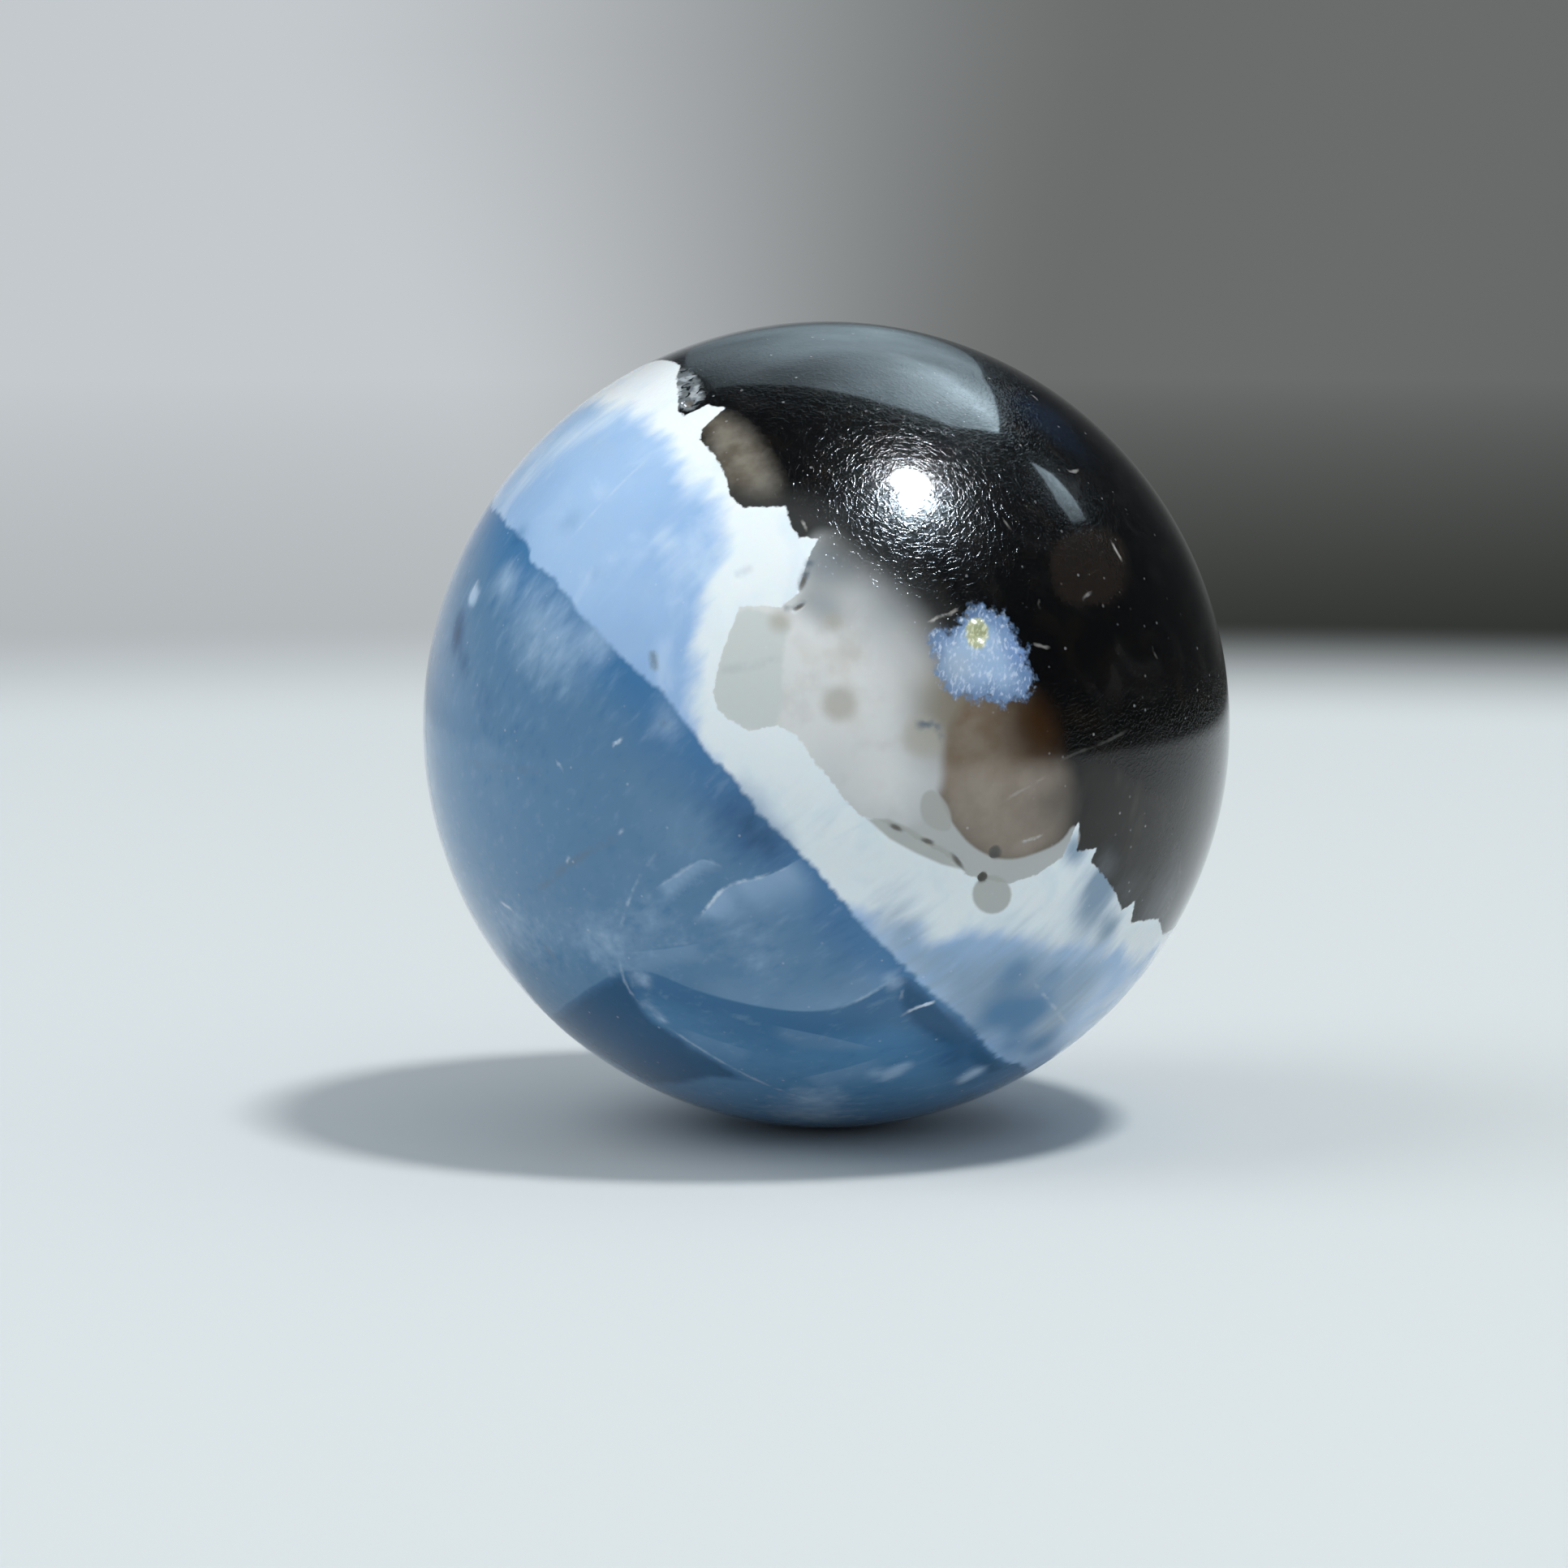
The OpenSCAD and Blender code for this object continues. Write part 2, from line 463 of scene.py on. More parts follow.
# %% Rounded outlines
def rounded(rows, times=2, closed=True):
    """Cuts the corners of an outline, so that a few points give a smooth curve."""
    for _ in range(times):
        ahead = np.roll(rows, -1, axis=0)
        pairs = np.stack([rows * 0.75 + ahead * 0.25, rows * 0.25 + ahead * 0.75], axis=1)
        if closed:
            rows = pairs.reshape(-1, 3)
        else:
            rows = np.concatenate([rows[:1], pairs[:-1].reshape(-1, 3), rows[-1:]])
    return unit(rows)


def disc(x, y, radius):
    """A round outline."""
    turns = np.linspace(0, 2 * math.pi, 20, endpoint=False)
    return ball_points([(x + radius * math.cos(t), y + radius * math.sin(t)) for t in turns])


window = rounded(ball_points(WINDOW_PX))
left_cell = rounded(ball_points(LEFT_CELL_PX))
green_cell = rounded(ball_points(GREEN_CELL_PX))
seam_lens = ball_points(SEAM_LENS_PX)
low_bubble = disc(*LOW_BUBBLE_PX)
seam = rounded(ball_points(SEAM_PX))
brown_low = rounded(ball_points(BROWN_LOW_PX))
flower = ball_points(FLOWER_PX)
crystal = rounded(ball_points(CRYSTAL_PX))
crisp_edges = [dark_ring, left_cell, green_cell, low_bubble, seam, brown_low, flower, crystal]
print("crisp outlines:", len(crisp_edges))

# %% [markdown]
# The ball's skin. A UV sphere crowds its points at two poles and an icosphere has no tidy rows, so
# this starts as a cube cut into a fine grid, whose grid lines are spread evenly in angle before the
# Cast modifier blows it up to a sphere. Every point is then about as far from its neighbours.

# %% Ball from a cube
GRID_CUTS = 99

bpy.ops.object.select_all(action="DESELECT")
bpy.ops.mesh.primitive_cube_add(size=2 * BALL_R)
skin = bpy.context.object
skin.name = "opal_sphere_skin"
bpy.ops.object.mode_set(mode="EDIT")
bpy.ops.mesh.select_all(action="SELECT")
bpy.ops.mesh.subdivide(number_cuts=GRID_CUTS)
bpy.ops.mesh.select_all(action="DESELECT")
bpy.ops.object.mode_set(mode="OBJECT")


def read_points(mesh):
    """The mesh's points as rows of x, y, z."""
    flat = np.empty(len(mesh.vertices) * 3)
    mesh.vertices.foreach_get("co", flat)
    return flat.reshape(-1, 3)


def write_points(mesh, points):
    mesh.vertices.foreach_set("co", points.ravel())
    mesh.update()


write_points(skin.data, np.tan(read_points(skin.data) / BALL_R * math.pi / 4) * BALL_R)
cast = skin.modifiers.new("to_ball", "CAST")
cast.cast_type = "SPHERE"
cast.factor = 1
cast.size = BALL_R
bpy.ops.object.modifier_apply(modifier=cast.name)
print("grid ball:", len(skin.data.vertices), "points")

# %% [markdown]
# Fine shapes need fine faces, but only where they are. A slit is a quarter of a millimetre wide
# and the crystal teeth are as sharp, so the faces near the pits and near the crisp outlines are
# cut four times finer and the rest of the ball stays light.

# %% Finer faces
FACET_DEPTH = 0.02 * MM
FINE_REACH = 0.26 * MM
FINE_CUTS = 3
WALK_STEP = 0.15 * MM


def finder_of(points):
    """A tree of points that quickly tells the nearest of them to a place."""
    made = KDTree(len(points))
    for i, point in enumerate(points):
        made.insert(point, i)
    made.balance()
    return made


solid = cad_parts["opal_sphere"]
pit_floor = [v.co.copy() for v in solid.data.vertices if v.co.length < BALL_R - FACET_DEPTH]
fine_spots = [point.normalized() * BALL_R for point in pit_floor]
for ring in crisp_edges:
    for a, b in zip(ring * BALL_R, np.roll(ring, -1, axis=0) * BALL_R):
        steps = max(1, int(np.linalg.norm(b - a) / WALK_STEP))
        fine_spots += [Vector(a + (b - a) * i / steps) for i in range(steps)]
finder = finder_of(fine_spots)

bpy.context.tool_settings.mesh_select_mode = (False, False, True)
for face in skin.data.polygons:
    face.select = finder.find(face.center.normalized() * BALL_R)[2] < FINE_REACH
print("faces to cut finer:", sum(face.select for face in skin.data.polygons))
bpy.ops.object.mode_set(mode="EDIT")
bpy.ops.mesh.subdivide(number_cuts=FINE_CUTS)
bpy.ops.object.mode_set(mode="OBJECT")

# %% [markdown]
# The pits come from the solid: a ray from each point near one, towards the centre, finds how deep
# the solid lies there. The solid's own facets read as a few hundredths of a millimetre, so only
# deeper places count. The rest is a true sphere, and its normals are set to be exactly radial,
# because a polish shows the smallest wave.

# %% Sink the pits
PIT_REACH = 0.6 * MM

solid_finder = BVHTree.FromPolygons(
    [v.co for v in solid.data.vertices], [tuple(p.vertices) for p in solid.data.polygons]
)
pit_finder = finder_of(pit_floor)
outward = unit(read_points(skin.data))
pit = np.zeros(len(outward))
for i, direction in enumerate(outward):
    way = Vector(direction)
    if pit_finder.find(way * BALL_R)[2] < PIT_REACH:
        hit = solid_finder.ray_cast(way * BALL_R * 1.2, -way)[0]
        pit[i] = max(0, BALL_R - hit.length - FACET_DEPTH)
write_points(skin.data, outward * (BALL_R - pit)[:, None])
bpy.ops.object.shade_smooth()

shaped = np.empty(len(outward) * 3, np.float32)
skin.data.vertex_normals.foreach_get("vector", shaped)
shaped = shaped.reshape(-1, 3)
true_round = (shaped * outward).sum(axis=1) > math.cos(math.radians(2))
skin.data.normals_split_custom_set_from_vertices(np.where(true_round[:, None], outward, shaped))
skin.data.calc_loop_triangles()
print("points in pits:", int((pit > 0).sum()), "triangles:", len(skin.data.loop_triangles))

# %% [markdown]
# The pattern of a stone is different at every place, so no repeating texture can give it. It could
# be painted on an image, but then it has the image's pixels. Here each patch of stone is an outline
# laid on the ball, and each point of the skin stores how many millimetres it lies inside that
# outline. The shader turns the distance into a crisp or a soft edge.

# %% Distances on the ball
def chart(heart):
    """A flat map of the ball round a direction: true distance and bearing from it, in mm."""
    heart = unit(np.array(heart, float))
    east = unit(np.cross((0.1, 0.2, 1.0), heart))
    north = np.cross(heart, east)

    def to_flat(rows):
        across = np.stack([rows @ east, rows @ north], axis=1)
        size = np.maximum(np.linalg.norm(across, axis=1), 1e-9)
        return across * (np.arctan2(size, rows @ heart) / size * R_MM)[:, None]

    return to_flat


def inside_mm(outline, heart=None, limit=4.0):
    """How many mm each point of the skin lies inside a closed outline, less than 0 outside."""
    to_flat = chart(outline.mean(axis=0) if heart is None else heart)
    ring, spots = to_flat(outline), to_flat(outward)
    near = np.all((spots > ring.min(0) - limit) & (spots < ring.max(0) + limit), axis=1)
    spots = spots[near]
    gap = np.full(len(spots), np.inf)
    inside = np.zeros(len(spots), bool)
    for a, b in zip(ring, np.roll(ring, -1, axis=0)):
        edge, arm = b - a, spots - a
        share = np.clip(arm @ edge / max(edge @ edge, 1e-12), 0, 1)
        gap = np.minimum(gap, np.linalg.norm(arm - share[:, None] * edge, axis=1))
        rise = edge[1] if edge[1] else 1e-12
        inside ^= ((a[1] > spots[:, 1]) != (b[1] > spots[:, 1])) & (arm[:, 0] < arm[:, 1] * edge[0] / rise)
    depth = np.full(len(outward), -limit)
    depth[near] = np.clip(np.where(inside, gap, -gap), -limit, limit)
    return depth


def keep(name, values):
    """Stores one number per point of the skin, for the shader to read."""
    store = skin.data.attributes.new(name, "FLOAT", "POINT")
    store.data.foreach_set("value", values.astype(np.float32))
    print(f"{name}: {values.min():.2f} to {values.max():.2f}")


lens = [inside_mm(outline) for outline in (seam_lens, low_bubble, green_cell)]
dimple_shades_and_spot = [inside_mm(disc(*px)) for px in SHADED_DIMPLES_PX + [HALF_DISC_PX]]
keep("blue", inside_mm(rounded(blue_ring, 1), heart=-LAYER_UP))
keep("white", inside_mm(rounded(white_ring, 1), heart=LAYER_UP))
keep("dark", inside_mm(dark_ring, heart=LAYER_UP))
keep("window", inside_mm(window))
keep("window_soft", inside_mm(rounded(ball_points(WINDOW_SOFT_PX))))
keep("beige", inside_mm(left_cell))
keep("lens", np.max(lens, axis=0))
keep("dimple", np.max(dimple_shades_and_spot, axis=0))
keep("seam", inside_mm(seam))
keep("brown_high", inside_mm(rounded(ball_points(BROWN_HIGH_PX))))
keep("brown_low", inside_mm(brown_low))
keep("flower", inside_mm(flower))
keep("crystal", inside_mm(crystal))
keep("grey_pocket", inside_mm(rounded(ball_points(GREY_POCKET_PX))))
keep("pit", pit / MM)

# %% [markdown]
# Smoky stone fills the dark layer's lower right and goes on round the back, where nothing shows its
# edge, so there it is given by bearing and height. Two brown pockets are all but lost in the black.
# Low in the blue opal a deeper zone starts at a crisp arc and runs under the ball. A dark wedge lies
# at the arc's left end, and a dark strip at its right end, along the pale band.

# %% Smoke, pockets and the deep zone
SMOKE_PX = [
    (1292, 950), (1322, 942), (1370, 942), (1395, 962), (1428, 980), (1454, 978), (1474, 962),
    (1488, 944), (1501, 924), (1512, 915),
]
SMOKE_BACK = [
    (98, 0), (115, 10), (132, 14), (150, 24), (168, 30), (172, 8), (140, -30), (105, -45), (80, -40),
]
SMOKE_LOW_PX = [(1440, 1180), (1400, 1185), (1340, 1110), (1312, 1060), (1318, 1010), (1318, 975)]
TAN_POCKET_PX = [
    (850, 512), (893, 500), (928, 522), (952, 552), (970, 590), (970, 632), (930, 640), (890, 620),
    (870, 575),
]
UMBER_POCKET_PX = [(1287, 674), (1323, 647), (1381, 650), (1396, 701), (1381, 746), (1312, 752), (1294, 724)]
DEEP_ARC_PX = [
    (672, 1250), (713, 1222), (758, 1196), (785, 1193), (813, 1199), (854, 1218), (923, 1237), (992, 1246),
    (1035, 1242), (1075, 1224), (1113, 1196), (1140, 1218), (1200, 1290), (1238, 1308),
]
WEDGE_PX = [
    (664, 1256), (713, 1222), (758, 1196), (774, 1200), (800, 1250), (842, 1278), (884, 1304),
    (935, 1334), (880, 1330), (840, 1338), (800, 1335), (760, 1312), (700, 1282),
]
DARK_STRIP_PX = [
    (1108, 1192), (1148, 1224), (1186, 1254), (1220, 1286), (1248, 1316), (1212, 1326), (1185, 1306),
    (1150, 1286), (1118, 1262), (1102, 1236),
]
DEEP_BACK = [(62, -52), (100, -60), (140, -64), (180, -66), (220, -64), (260, -58), (300, -50)]


def angle_points(places):
    """Directions for places given as azimuth from the front and elevation, in degrees."""
    turned = np.radians(np.array(places, float))
    azimuth, elevation = turned[:, 0], turned[:, 1]
    flat = np.cos(elevation)
    return np.stack([np.sin(azimuth) * flat, -np.cos(azimuth) * flat, np.sin(elevation)], axis=1)


smoke = np.concatenate([ball_points(SMOKE_PX), angle_points(SMOKE_BACK), ball_points(SMOKE_LOW_PX)])
deep = np.concatenate([rounded(ball_points(DEEP_ARC_PX), 1, closed=False), angle_points(DEEP_BACK)])
keep("smoke", inside_mm(rounded(smoke)))
keep("tan_pocket", inside_mm(rounded(ball_points(TAN_POCKET_PX))))
keep("umber_pocket", inside_mm(rounded(ball_points(UMBER_POCKET_PX), 1)))
keep("deep", inside_mm(deep, heart=(0, 0, -1)))
keep("wedge", np.max([inside_mm(ball_points(px)) for px in (WEDGE_PX, DARK_STRIP_PX)], axis=0))

# %% [markdown]
# Soft things have no outline. The pale band has whiter drifts, the blue opal has paler and deeper
# clouds, and the cells of the dark layer shade off into the black. They are dabs with a soft brush.
# A few of the pale and deep dabs are painted light: a painted highlight and a painted dark
# reflection at the left rim, and painted light that brightens the bottom of the ball.

# %% Soft clouds and painted light
MILK_DABS = [
    (690, 548, 40, 0.5), (650, 590, 30, 0.45), (745, 515, 45, 0.6), (700, 500, 40, 0.6), (819, 665, 22, 0.5),
    (850, 700, 40, 0.4), (800, 560, 40, 0.3), (1090, 1150, 25, 0.5), (1130, 1190, 28, 0.5),
    (1165, 1225, 28, 0.35), (1200, 1256, 18, 0.25), (1345, 1225, 40, 0.6), (1350, 1180, 22, 0.5),
    (1318, 1235, 20, 0.35), (860, 600, 30, 0.6),
]
# Among the pale dabs, the small strong one at the left rim (583, 734) is a painted highlight, and the wide
# one low at (1000, 1375) is painted light that brightens the bottom of the ball.
PALE_AND_LIT_DABS = [
    (695, 795, 70, 0.45), (655, 750, 60, 0.3), (640, 840, 60, 0.12), (622, 715, 30, 0.5), (740, 795, 26, 0.3),
    (583, 734, 14, 1.2), (640, 1150, 60, 0.35), (750, 1165, 45, 0.4), (760, 880, 26, 0.15),
    (1102, 1320, 16, 0.6), (1076, 1322, 13, 0.5), (1090, 1330, 12, 0.4), (800, 1130, 40, 0.3),
    (1120, 1312, 11, 0.4), (930, 1140, 60, 0.12), (792, 1208, 15, 0.45), (1098, 1208, 17, 0.7),
    (816, 1256, 9, 0.6), (820, 880, 30, 0.35), (828, 905, 20, 0.25), (800, 1240, 16, 0.3),
    (1180, 820, 26, 0.45), (1200, 1322, 18, 0.8), (1185, 1332, 12, 0.5), (1010, 1350, 36, 0.4),
    (1362, 1065, 24, 0.6), (1430, 1115, 48, 0.7), (1445, 1055, 40, 0.15), (1390, 1095, 30, 0.35),
    (1000, 1375, 60, 0.6), (900, 1150, 50, 0.15), (700, 1150, 50, 0.15), (950, 1195, 40, 0.15),
]
# Among the deep dabs, the three at the left rim (566, 763 to 572, 818) are a painted dark reflection.
DEEP_AND_REFLECTION_DABS = [
    (775, 850, 26, 0.25), (600, 860, 40, 0.35), (905, 1000, 45, 0.6), (955, 1045, 30, 0.5),
    (930, 1040, 40, 0.3), (640, 900, 60, 0.3), (1020, 1140, 35, 0.3), (640, 660, 22, 0.5),
    (566, 763, 20, 0.7), (563, 790, 22, 0.9), (572, 818, 18, 0.7), (1178, 1300, 26, 0.9),
    (700, 645, 30, 0.35), (735, 712, 26, 0.35), (1300, 1200, 24, 0.5), (1250, 1196, 28, 0.6),
    (1045, 1300, 30, 0.25), (1050, 1200, 40, 0.3), (1285, 1284, 32, 0.8), (1250, 1286, 28, 0.5),
    (1252, 1266, 20, 0.3), (1236, 1246, 42, 0.9), (1275, 1246, 32, 0.8), (1196, 1272, 16, 0.2),
    (1256, 800, 24, 0.5),
]
SHADE_DABS = [(1295, 990, 45, 0.4), (1345, 985, 50, 0.35), (1400, 1000, 50, 0.15)]
DUSK_DABS = [
    (1006, 684, 40, 0.5), (1040, 700, 36, 0.4), (1100, 752, 40, 0.4), (1142, 800, 34, 0.2),
    (1030, 950, 50, 0.2), (1028, 758, 20, 0.3), (1000, 745, 26, 0.4),
]
WARM_DABS = [(1180, 872, 60, 0.9)]
AMBER_DABS = [(1300, 888, 84, 0.95)]
NAVY_DABS = [(1285, 512, 48, 1.0), (1330, 556, 34, 0.4)]
GREY_DABS = [
    (1240, 1222, 90, 0.9), (1160, 1200, 40, 0.3), (1352, 1100, 38, 0.7), (1326, 1046, 22, 0.9),
    (1368, 1142, 24, 0.7), (1100, 1140, 40, 0.35), (1290, 1270, 50, 0.7), (1340, 1130, 26, 0.4),
    (1360, 1085, 22, 0.6), (1000, 1010, 60, 0.2), (1335, 1212, 55, 0.5), (1110, 1100, 60, 0.2),
    (1130, 1175, 36, 0.35),
]
print("pale dabs:", len(PALE_AND_LIT_DABS), "deep dabs:", len(DEEP_AND_REFLECTION_DABS))

# %% [markdown]
# A dab is a bell curve on the ball: full strength at its middle, gone at about twice its radius.
# Dabs of one kind add up to one soft field, so a few of them can shade a large patch unevenly.

# %% Brush of dabs
def dabs(spots):
    """A soft field from brush dabs: pixel x, y, radius in pixels and strength."""
    field = np.zeros(len(outward))
    for x, y, radius, strength in spots:
        gap = np.linalg.norm(outward - ball_points([(x, y)])[0], axis=1) * R_MM
        field += strength * np.exp(-(gap * PX_PER_MM / radius) ** 2)
    return field


keep("milk", dabs(MILK_DABS))
keep("cloud", dabs(PALE_AND_LIT_DABS) - dabs(DEEP_AND_REFLECTION_DABS))
keep("shade", dabs(SHADE_DABS))
keep("dusk", dabs(DUSK_DABS))
keep("warm", dabs(WARM_DABS))
keep("amber", dabs(AMBER_DABS))
keep("grey", dabs(GREY_DABS))
keep("navy", dabs(NAVY_DABS))

# %% [markdown]
# Veils are old cracks that healed inside the opal. Seen from outside, a steep one is a pale line
# and a sloping one is a pale page that fades away on one side of its edge. Cracks in the dark stone
# and dark marks are lines as well. They are listed here with a strength each. Two of the veil lines
# are painted light: a painted glint low in the opal and a painted highlight at the left rim.

# %% Veils, cracks and marks
PAGES_PX = [
    ([(888, 1068), (866, 1055), (848, 1069), (806, 1094)], 0.65),
    ([(990, 1055), (947, 1080), (899, 1088), (881, 1105), (858, 1136)], 0.9),
    ([(854, 1218), (920, 1237), (985, 1247), (1035, 1242), (1075, 1224), (1113, 1196)], 0.3),
    ([(1085, 1292), (1020, 1276), (950, 1262)], 0.25),
    ([(1090, 1300), (1040, 1316), (985, 1328)], 0.3),
    ([(930, 1296), (880, 1280), (840, 1266)], 0.2),
    ([(1320, 1268), (1296, 1238), (1270, 1206)], 0.55),
    ([(866, 1161), (828, 1168), (770, 1173)], 0.3),
]
VEILS_AND_GLINTS_PX = [
    ([(990, 1055), (947, 1080), (899, 1088), (881, 1105), (858, 1136)], 0.9),
    ([(806, 1094), (848, 1069), (866, 1055), (888, 1068)], 0.35),
    ([(820, 1036), (788, 1080), (770, 1120), (762, 1160), (765, 1197), (775, 1221), (800, 1250)], 0.42),
    ([(800, 1250), (842, 1278), (908, 1318), (948, 1338), (1021, 1361)], 0.35),
    ([(775, 1182), (790, 1166), (825, 1164), (860, 1160)], 0.16),
    ([(700, 668), (750, 612), (802, 562)], 0.4),
    ([(1035, 1242), (1075, 1224), (1113, 1196)], 0.35),
    ([(1113, 1190), (1113, 1210), (1109, 1236)], 0.35),
    # This bright streak low in the opal is a painted glint, a reflection of bright light drawn like a veil.
    ([(1108, 1252), (1130, 1241), (1152, 1234)], 1.6),
    ([(1068, 1012), (1030, 1034), (992, 1054)], 0.3),
    ([(1272, 1208), (1296, 1238), (1320, 1268)], 0.3),
    # This pale streak at the left rim is a painted highlight, drawn like a veil.
    ([(588, 716), (580, 735), (573, 754)], 1.0),
    ([(618, 1112), (632, 1122)], 0.5),
    ([(756, 917), (768, 909)], 1.2),
    ([(697, 1063), (702, 1055)], 0.9),
    ([(763, 1027), (768, 1022)], 0.6),
    ([(686, 938), (693, 948)], 0.4),
]
CRACKS_PX = [
    ([(1231, 990), (1262, 972), (1290, 956)], 0.22),
    ([(1300, 940), (1330, 926), (1361, 915), (1392, 898)], 0.08),
    ([(1240, 1042), (1262, 1037), (1285, 1029)], 0.7),
    ([(1146, 767), (1158, 757), (1167, 760), (1180, 750)], 0.9),
    ([(1236, 640), (1242, 648), (1248, 656)], 0.6),
    ([(1256, 658), (1262, 668)], 0.5),
    ([(988, 640), (994, 655)], 0.7),
    ([(1370, 668), (1376, 680), (1383, 692)], 0.6),
    ([(1271, 486), (1278, 492)], 0.5),
    ([(1312, 578), (1322, 583), (1330, 578)], 0.4),
    ([(1280, 741), (1281, 750)], 0.8),
    ([(1273, 793), (1292, 799)], 0.35),
    ([(1334, 737), (1346, 729)], 0.3),
    ([(1420, 800), (1426, 812)], 0.3),
]
MARKS_PX = [
    ([(1128, 895), (1145, 889), (1158, 896), (1165, 915)], 0.9),
    ([(880, 827), (920, 822), (966, 811)], 0.12),
    ([(570, 940), (620, 945), (680, 951)], 0.2),
    ([(1000, 688), (990, 712), (984, 736)], 1.2),
    ([(803, 798), (806, 812), (806, 830)], 0.6),
    ([(811, 889), (818, 891), (826, 898)], 0.5),
    ([(903, 709), (914, 705), (928, 697)], 0.15),
    ([(657, 1100), (700, 1065), (764, 1028)], 0.4),
    ([(669, 1161), (684, 1182), (703, 1199)], 0.3),
    ([(964, 748), (978, 748), (990, 741)], 1.2),
]
print("lines:", len(PAGES_PX), len(VEILS_AND_GLINTS_PX), len(CRACKS_PX), len(MARKS_PX))

# %% [markdown]
# A line is too thin for the grid to store as paint, but the distance to its left or right side is
# smooth, and the shader draws the line from that. Half way between two lines the nearest one
# changes and the side would flip, so the strength fades out there.

# %% Side of a line
def line_sides(lines, limit=3.0, apart=0.3):
    """For the nearest of some lines: mm to its left or right, and a strength that fades at its ends."""
    nearest = np.full(len(outward), limit)
    second, side, strength = nearest.copy(), nearest.copy(), np.zeros(len(outward))
    for rows, amount in lines:
        to_flat = chart(rows.mean(axis=0))
        path, spots = to_flat(rows), to_flat(outward)
        reached = (spots > path.min(0) - limit) & (spots < path.max(0) + limit)
        close = np.flatnonzero(np.all(reached, axis=1))
        spots = spots[close]
        steps = np.linalg.norm(np.diff(path, axis=0), axis=1)
        total, done = steps.sum(), 0.0
        gap = np.full(len(close), limit)
        own_side, own_strength = gap.copy(), gap * 0
        for a, b, step in zip(path[:-1], path[1:], steps):
            edge, arm = (b - a) / step, spots - a
            along = arm @ edge
            now = np.linalg.norm(arm - np.clip(along, 0, step)[:, None] * edge, axis=1)
            left = np.where(edge[0] * arm[:, 1] - edge[1] * arm[:, 0] > 0, 1.0, -1.0)
            ends = np.minimum(done + along, total - done - along) / (0.15 * total)
            better = now < gap
            own_side = np.where(better, left * now, own_side)
            own_strength = np.where(better, amount * np.clip(ends, 0, 1), own_strength)
            gap = np.minimum(gap, now)
            done += step
        better = gap < nearest[close]
        second[close] = np.where(better, nearest[close], np.minimum(second[close], gap))
        won = close[better]
        nearest[won], side[won], strength[won] = gap[better], own_side[better], own_strength[better]
    return side, strength * np.clip((second - nearest - apart) / (2 * apart), 0, 1)


for name, lines in (("page", PAGES_PX), ("veil_and_glint", VEILS_AND_GLINTS_PX), ("crack", CRACKS_PX), ("mark", MARKS_PX)):
    laid = [(rounded(ball_points(px), 2, closed=False), amount) for px, amount in lines]
    line_side, line_amount = line_sides(laid)
    keep(name + "_side", line_side)
    keep(name + "_amount", line_amount)

# %% [markdown]
# The finish: polished layered opal. Opal is a gel of silica, glassy and cloudy at once, so the
# light soaks in a few millimetres before it comes back, and the surface mirrors like weak glass
# (IOR 1.45). The stone is painted from the bottom up with one function: a colour goes over what is
# there, where a stored distance or a mottle runs from one value to another.

# %% Stone material
stone = bpy.data.materials.new("polished_layered_opal")
stone.use_nodes = True
tree = stone.node_tree
shader = tree.nodes["Principled BSDF"]
place = node(tree, "ShaderNodeTexCoord").outputs["Object"]


def mottle(size_mm, detail=3.0, along=None, ratio=1.0, swirl=0.0):
    """Cloudy variation round 0, in patches of a real size, drawn out along a direction if given."""
    where = place
    if along is not None:
        turn = Vector(along).to_track_quat("X", "Z").to_euler()
        settings = {"Vector": place, "Rotation": turn, "Scale": (ratio, 1, 1)}
        where = node(tree, "ShaderNodeMapping", settings, vector_type="TEXTURE").outputs[0]
    grain = {"Vector": where, "Scale": 1 / (size_mm * MM), "Detail": detail, "Distortion": swirl}
    cloudy = node(tree, "ShaderNodeTexNoise", grain)
    return node(tree, "ShaderNodeMath", {0: cloudy.outputs["Fac"], 1: 0.5}, operation="SUBTRACT").outputs[0]


def shown(field, low, high, rough=None, share=1.0):
    """How much of a stone shows: none where a field is low, its share where the field is high."""
    if isinstance(field, str):
        field = node(tree, "ShaderNodeAttribute", attribute_name=field).outputs["Fac"]
    if rough:
        ragged = {0: rough[0], 1: rough[1], 2: field}
        field = node(tree, "ShaderNodeMath", ragged, operation="MULTIPLY_ADD").outputs[0]
    span = {0: field, 1: low, 2: high, 4: share}
    return node(tree, "ShaderNodeMapRange", span, interpolation_type="SMOOTHSTEP").outputs[0]


def paint(under, colour, *where, **more):
    """Lays a stone's colour over another, where the field in question says that it shows."""
    mask = where[0] if len(where) == 1 else shown(*where, **more)
    return node(tree, "ShaderNodeMix", {0: mask, 6: under, 7: colour}, data_type="RGBA").outputs[2]


fine = mottle(0.22)
medium = mottle(1.2, 4)
broad = mottle(5.0, 3)
comb = mottle(0.4, 3, LAYER_UP, 7)
print("mottles made")

# %% [markdown]
# The pale band is cloudy light blue, with whiter wisps and a milk-white side whose edge is feathered
# across the layer. Below, the blue opal is deeper and built of fine fibres that stand across the
# layer as well, so the same drawn-out mottle, like a comb, roughens all of these edges.

# %% Pale band and blue opal
pale = paint("#9cbee3", "#aac9e9", broad, -0.2, 0.2)
wisps = mottle(2.6, 5, swirl=0.6)
pale = paint(pale, "#cbdff3", wisps, 0.0, 0.22, share=0.6)
pale = paint(pale, "#8cb1da", wisps, -0.03, -0.25, share=0.4)
pale = paint(pale, "#d8e9f7", "milk", 0.1, 1.0, rough=(comb, 0.6))
feather = mottle(1.0, 6, LAYER_UP, 2.5)
pale = paint(pale, "#eef6fa", "white", -0.2, 1.0, rough=(feather, 2.2))
pale = paint(pale, "#c9dbea", wisps, -0.02, -0.2, share=0.22)
pale = paint(pale, "#8ca4b9", "grey", 0.1, 1.0, rough=(comb, 0.55))
pale = paint(pale, "#4a80aa", "cloud", -0.1, -1.0, rough=(medium, 0.3))

